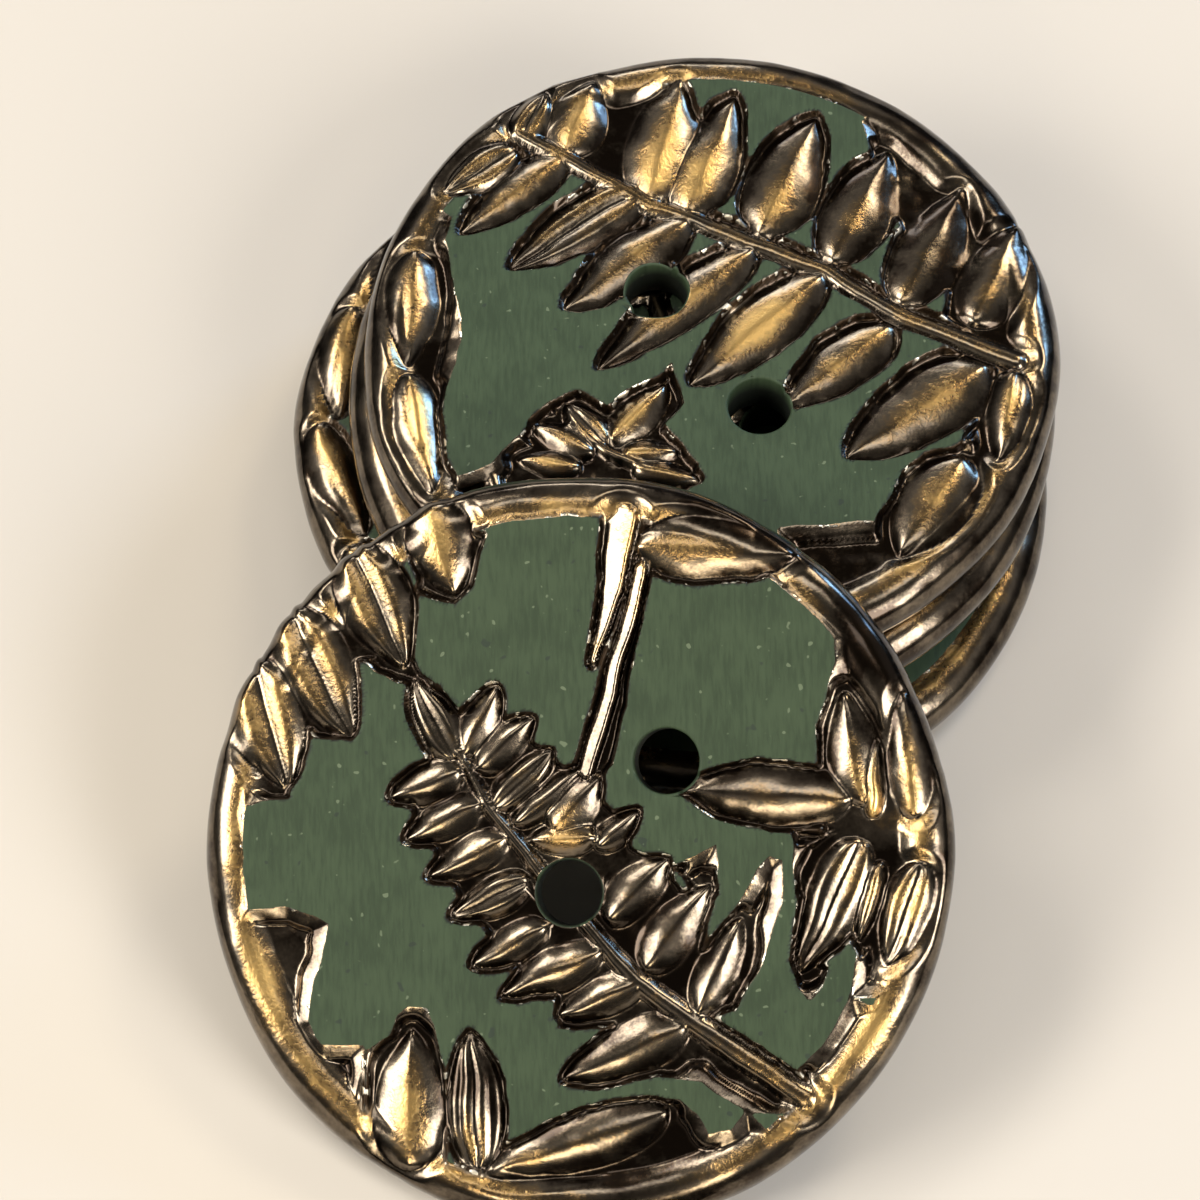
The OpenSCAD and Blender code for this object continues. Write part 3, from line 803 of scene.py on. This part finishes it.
# %% The face's sheet
RIM_HELD, HOLE_HELD = 0.05, 0.3
RIM_FOUND, HOLE_FOUND = 0.1, 1


def pressed_sheet(bm, button, reach):
    """A grid pressed into a disc, with points on the green's outline and with the holes cut out."""
    bmesh.ops.create_grid(bm, x_segments=button["cells"], y_segments=button["cells"], size=1)
    points = np.array([v.co[:2] for v in bm.verts])
    x, y = pressed_round(points[:, 0], points[:, 1])
    x, y = x * reach, y * reach
    held = np.hypot(x, y) > reach - RIM_HELD
    gone = np.zeros(len(x), bool)
    for hole_x, hole_y in button["holes"]:
        away = np.hypot(x - hole_x, y - hole_y)
        gone |= away < HOLE_R + LIP
        held |= away < HOLE_R + LIP + HOLE_HELD
    moved_x, moved_y = onto_outline(x, y, button, 2 * reach / button["cells"])
    x, y = np.where(held, x, moved_x), np.where(held, y, moved_y)
    for v, vx, vy in zip(bm.verts, x, y):
        v.co = (vx, vy, 0)
    bmesh.ops.delete(bm, geom=[v for v, g in zip(list(bm.verts), gone) if g], context="VERTS")


def open_loops(bm, button, reach):
    """The edges round the rim, and each hole's middle and edges. The holes are made truly round."""
    open_edges = [e for e in bm.edges if e.is_boundary]
    rim = [e for e in open_edges if e.verts[0].co.length > reach - RIM_FOUND]
    lips = []
    for hole in button["holes"]:
        middle = Vector((*hole, 0))
        lip = [e for e in open_edges if (e.verts[0].co - middle).length < HOLE_R + HOLE_FOUND]
        spread_round(lip, middle, HOLE_R + LIP)
        lips.append((middle, lip))
    return rim, lips


for name, button in BUTTONS.items():
    print(name, "has cells of about", round(button["d"] / button["cells"], 2), "mm")


# %% Rim, hole walls and back
def rolled_rim(bm, rim, kind, radius):
    """The rim extruded round its roll to the back. Its lumps go on down it, and the last loop is flat."""
    for turn in np.linspace(ROLL_START, ROLL_END, ROLL_STEPS + 1)[1:]:
        def rolled(co, turn=turn):
            flat = Vector((co.x, co.y, 0))
            lump = math.hypot(flat.length - radius + ROLL_R, co.z - ROLL_Z) - ROLL_R
            reach = ROLL_R + lump * LUMP_KEPT * (turn < ROLL_END)
            return flat.normalized() * (radius - ROLL_R + reach * math.sin(turn)) + Vector(
                (0, 0, ROLL_Z + reach * math.cos(turn)))
        rim = extruded(bm, rim, SIDE, kind, rolled)
    return rim


def hole_wall(bm, lip, kind, middle):
    """A hole's edge extruded over a rounded lip, down a straight wall, and out a little at the back."""
    before = 0
    for turn in map(math.radians, LIP_TURNS):
        def rounded(co, turn=turn, before=before):
            out = Vector((co.x - middle.x, co.y - middle.y, 0)).normalized()
            down = LIP * (math.cos(before) - math.cos(turn))
            place = middle + out * (HOLE_R + LIP * (1 - math.sin(turn)))
            return Vector((place.x, place.y, co.z - down))
        lip = extruded(bm, lip, HOLE, kind, rounded)
        before = turn
    for depth in WALL_DEPTHS:
        lip = extruded(bm, lip, HOLE, kind, lambda co, depth=depth: Vector((co.x, co.y, depth)))
    return extruded(bm, lip, HOLE, kind, lambda co: Vector((
        *(middle + (Vector((co.x, co.y, 0)) - middle) * (1 + LIP / HOLE_R)).xy, 0)))


def button_mesh(name, button):
    """One button as a closed mesh, in millimetres, with its back's middle at the origin."""
    radius = button["d"] / 2
    reach = radius - ROLL_R + ROLL_R * math.sin(ROLL_START)
    bm = bmesh.new()
    kind = bm.verts.layers.int.new("kind")
    pressed_sheet(bm, button, reach)
    rim, lips = open_loops(bm, button, reach)
    unfold(bm)
    points = np.array([v.co[:2] for v in bm.verts])
    for v, height in zip(bm.verts, relief(points[:, 0], points[:, 1], button)[0]):
        v.co.z = height
    backs = rolled_rim(bm, rim, kind, radius)
    for middle, lip in lips:
        backs += hole_wall(bm, lip, kind, middle)
    bmesh.ops.triangle_fill(bm, use_beauty=True, edges=backs, normal=(0, 0, -1))
    bmesh.ops.recalc_face_normals(bm, faces=bm.faces)
    print(name, "has", sum(e.is_boundary for e in bm.edges), "open edges")
    mesh = bpy.data.meshes.new(name)
    bm.to_mesh(mesh)
    bm.free()
    return mesh


meshes = {name: button_mesh(name, button) for name, button in BUTTONS.items()}

# %% [markdown]
# ## What the finish needs to know
#
# The finish is green on the sanded face, the hole walls and the back, and bronze elsewhere. Painting an
# image would fix its sharpness, so each point carries numbers instead: its distance outside the green,
# which the shader cuts to a crisp line, how much bronze its crest keeps, and how much shade is painted
# on it, deep in a hole or on a narrow wall beside a leaf. A flat UV map holds the place on the button's own
# face, so that the sanding marks run the same way on every button.

# %% Numbers on the points
UV_SIDE = 40
BACK_GREEN_IN, BACK_BELOW = 1, 0.05
HOLE_SHADE_FROM, HOLE_SHADE_FADE = 0.3, 0.6


def read_points(mesh):
    """Every point's place, and whether it is on the side or in a hole."""
    co = np.empty(len(mesh.vertices) * 3, np.float32)
    mesh.vertices.foreach_get("co", co)
    kind = np.empty(len(mesh.vertices), np.int32)
    mesh.attributes["kind"].data.foreach_get("value", kind)
    return co.reshape(-1, 3).astype(float), kind


def number_points(mesh, button):
    """Gives each point its three numbers, and each corner its place on the flat face."""
    co, kind = read_points(mesh)
    x, y, z = co.T
    _, outside, crest, dull = relief(x, y, button)
    back = np.hypot(x, y) - (button["d"] / 2 - BACK_GREEN_IN)
    # Painted shade: the deeper a point lies down a hole, the darker its clay is painted.
    hole_painted_shade = ease((GROUND_Z + HOLE_SHADE_FROM - z) / HOLE_SHADE_FADE)
    outside = np.where(kind == HOLE, -1, np.where(kind == SIDE, np.where(z < BACK_BELOW, back, 1), outside))
    crest = np.where(kind == SIDE, RIM_CREST, crest)
    dull = np.where(kind == HOLE, hole_painted_shade, np.where(kind == SIDE, 0, dull))
    for label, values in (("outside_green", np.clip(outside, -2, 2)), ("crest", crest), ("dull", dull)):
        layer = mesh.attributes.new(label, "FLOAT", "POINT")
        layer.data.foreach_set("value", values.astype(np.float32))
    corners = np.empty(len(mesh.loops), np.int32)
    mesh.loops.foreach_get("vertex_index", corners)
    flat = mesh.uv_layers.new(name="face")
    flat.data.foreach_set("uv", (co[corners, :2] / UV_SIDE + 0.5).astype(np.float32).ravel())
    print(mesh.name, "crest", crest.min().round(2), "to", crest.max().round(2))


for name, mesh in meshes.items():
    number_points(mesh, BUTTONS[name])

# %% Place the buttons
ROUGH_CUT, ROUGH_CUT_WAVES, CUT_POWER = 0.12, 3, 5


def cut_roughly(mesh, button):
    """Moves the edge in and out a little, because each button was cut by hand."""
    co, _ = read_points(mesh)
    r, turn = np.hypot(co[:, 0], co[:, 1]), np.arctan2(co[:, 1], co[:, 0])
    push = lumps(np.cos(turn) * ROUGH_CUT_WAVES, np.sin(turn) * ROUGH_CUT_WAVES, (ROUGH_CUT, 1.0),
                 button["seed"] + 90)
    for at, amount, spread in button.get("bulges", []):
        push += amount * np.exp(-((np.degrees(turn) - at) / spread) ** 2)
    co[:, :2] *= (1 + push / r.max() * (r / r.max()) ** CUT_POWER)[:, None]
    mesh.vertices.foreach_set("co", co.astype(np.float32).ravel())


pieces = []
for name, mesh in meshes.items():
    cut_roughly(mesh, BUTTONS[name])
    mesh.transform(Matrix.Scale(MM, 4) @ BUTTONS[name]["place"])
    mesh.shade_smooth()
    piece = bpy.data.objects.new(f"{name}_clay", mesh)
    bpy.context.scene.collection.objects.link(piece)
    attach(piece, "root")
    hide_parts(name)
    pieces.append(piece)
    print(piece.name, sum(len(f.vertices) - 2 for f in mesh.polygons), "triangles")

# %% [markdown]
# ## Sanded clay and brushed bronze
#
# The clay is matt and dull green, with fine sanding marks that all run one way, and dark and pale specks.
# The bronze is a metal powder under varnish: gold where it was rubbed on the crests, dark brown in the
# creases, with a grain that sparkles. Painted shade darkens the clay deep in the holes and the bronze on the
# narrow walls beside the leaves, and pale specks along the green's edge are painted glints on burrs. One
# material holds both, and the distance number picks between them.
# Places are in millimetres here, so a pattern's scale is how many of its patches a millimetre holds.

# %% The finish
clay_and_bronze = bpy.data.materials.new("sanded_clay_and_bronze")
finish = Finish(clay_and_bronze)
flat = finish.node("ShaderNodeUVMap", {"uv_map": "face"})
place = finish.node("ShaderNodeVectorMath", {"operation": "SCALE"}, {0: flat, "Scale": float(UV_SIDE)})
body = finish.node("ShaderNodeTexCoord", {}, {}, "Object")
body = finish.node("ShaderNodeVectorMath", {"operation": "SCALE"}, {0: body, "Scale": 1000.0})
outside = finish.node("ShaderNodeAttribute", {"attribute_name": "outside_green"}, {}, "Fac")
crest = finish.node("ShaderNodeAttribute", {"attribute_name": "crest"}, {}, "Fac")
dull = finish.node("ShaderNodeAttribute", {"attribute_name": "dull"}, {}, "Fac")
print(len(finish.tree.nodes), "nodes read the mesh")

# %% Green clay
GREEN_DARK, GREEN_PALE = (0.026, 0.043, 0.02, 1), (0.041, 0.064, 0.031, 1)
SPECK_DARK, SPECK_PALE = (0.02, 0.03, 0.022, 1), (0.16, 0.2, 0.12, 1)
HOLE_PAINTED_SHADE = (0.006, 0.008, 0.005, 1)

stretched = finish.node("ShaderNodeMapping", {}, {"Vector": place, "Scale": (4.0, 0.6, 1.0)})
marks = finish.clouds(stretched, 1.3, 3.0, 0.6)
blotches = finish.clouds(place, 0.4, 2.0)
tone = finish.between(marks * 0.6 + blotches * 0.4, 0.36, 0.64)
green = finish.blend(tone, GREEN_DARK, GREEN_PALE)
dark_specks = finish.between(finish.clouds(place, 1.5, 1.0), 0.7, 0.75)
pale_specks = finish.between(finish.clouds(body, 2.3, 1.0), 0.72, 0.77)
green = finish.blend(dark_specks * 0.7, green, SPECK_DARK)
green = finish.blend(pale_specks * 0.6, green, SPECK_PALE)
# Painted shade: the clay deep in the holes is darkened towards near black.
green = finish.blend(dull, green, HOLE_PAINTED_SHADE)
sanded = finish.node("ShaderNodeBump", {}, {"Strength": 0.25, "Distance": 0.00002, "Height": marks})
clay_shader = finish.node("ShaderNodeBsdfPrincipled", {}, {
    "Base Color": green, "Roughness": 0.5 + marks * 0.2, "Specular IOR Level": 0.3, "Normal": sanded})
print(len(finish.tree.nodes), "nodes with the green clay")

# %% Bronze
GROOVE_BROWN, DARK_BRONZE = (0.03, 0.019, 0.011), (0.2, 0.16, 0.115)
WARM_BRONZE, RUBBED_GOLD = (0.4, 0.255, 0.105), (0.88, 0.57, 0.2)
BRONZE_STOPS = [(0.0, GROOVE_BROWN), (0.35, DARK_BRONZE), (0.68, WARM_BRONZE), (1.0, RUBBED_GOLD)]
BURR_GLINT_PALE = (0.9, 0.84, 0.7, 1)

grain = finish.clouds(body, 6.0, 3.0, 0.6)
patches = finish.clouds(body, 0.4, 3.0)
mottle = finish.clouds(body, 1.3, 2.0)
# Painted shade darkens the bronze on the narrow walls beside the leaves, which are also rougher with less
# varnish.
rubbed = crest + (patches - 0.5) * 0.9 + (mottle - 0.5) * 0.5 + (grain - 0.5) * 0.4 - dull * 0.5
gilded = finish.between(rubbed, 0.45, 1.0)
bronze = finish.node("ShaderNodeValToRGB", {"stops": BRONZE_STOPS}, {0: rubbed * 0.88})
# Painted highlights: pale specks along the green's edge stand for glints on small burrs, which also raise
# the bump.
edge = finish.between(outside, -0.02, 0.03) * (1 - finish.between(outside, 0.08, 0.16))
burrs_and_glints = edge * finish.between(finish.clouds(body, 2.0, 2.0), 0.58, 0.63)
burrs_and_glints = burrs_and_glints * finish.between(patches, 0.42, 0.52)
bronze = finish.blend(burrs_and_glints, bronze, BURR_GLINT_PALE)
dent = finish.node("ShaderNodeBump", {}, {"Strength": 0.4, "Distance": 0.00004,
                                          "Height": grain * (gilded * 1.1 + 0.3) + mottle * 0.8 + burrs_and_glints})
bronze_shader = finish.node("ShaderNodeBsdfPrincipled", {}, {
    "Base Color": bronze, "Metallic": 1.0, "Roughness": 0.2 + gilded * 0.11 + dull * 0.3,
    "Coat Weight": (1 - dull) * 0.3, "Coat Roughness": 0.12, "Normal": dent})
print(len(finish.tree.nodes), "nodes with the bronze")

# %% Put the two together
ragged_line = outside + (grain - 0.5) * 0.08
is_bronze = finish.between(ragged_line, 0.0, 0.03)
both = finish.node("ShaderNodeMixShader", {}, {0: is_bronze, 1: clay_shader, 2: bronze_shader})
finish.node("ShaderNodeOutputMaterial", {}, {"Surface": both})
for piece in pieces:
    piece.data.materials.append(clay_and_bronze)
print(len(finish.tree.nodes), "nodes in the finish")
